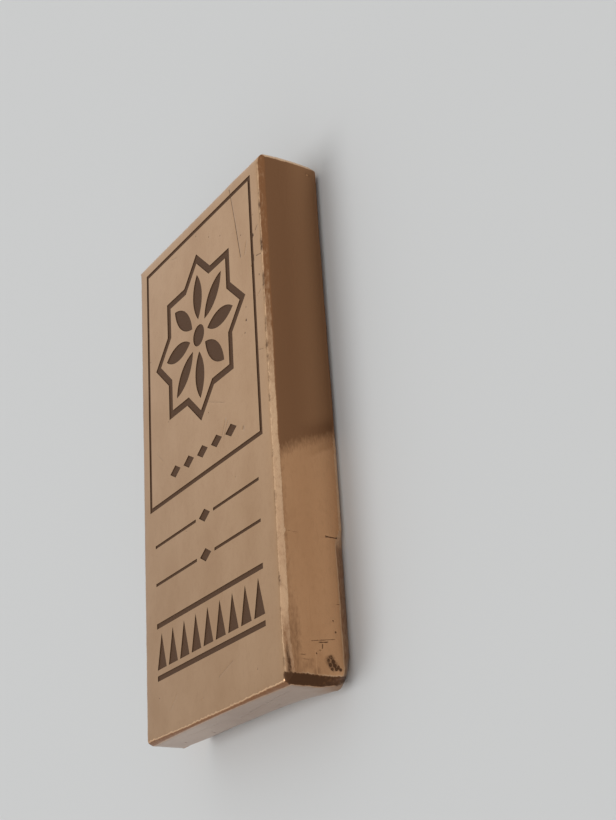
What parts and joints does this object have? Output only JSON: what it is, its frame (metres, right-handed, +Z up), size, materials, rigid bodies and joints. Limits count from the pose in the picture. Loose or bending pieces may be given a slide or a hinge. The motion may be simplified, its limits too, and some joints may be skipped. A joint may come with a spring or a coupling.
{
  "type": "copper ingot",
  "caption": "Flat rectangular copper bar with filed bevels, an engraved border line and a plain star ornament on its face.",
  "frame": {"origin": "on the floor, under the middle of the bar, which lies on its back with the engraved face up", "axes": "+X across the bar, to its right as the face is read; +Y along the bar, from foot to head; +Z up through it, out of the engraved face"},
  "size_m": [0.06, 0.12, 0.0158],
  "materials": {
    "copper": "polished, with fine scratches and filed edges; the engraving is matt dark brown"
  },
  "bodies": {
    "root": {"ingot": "copper"}
  },
  "joints": []
}
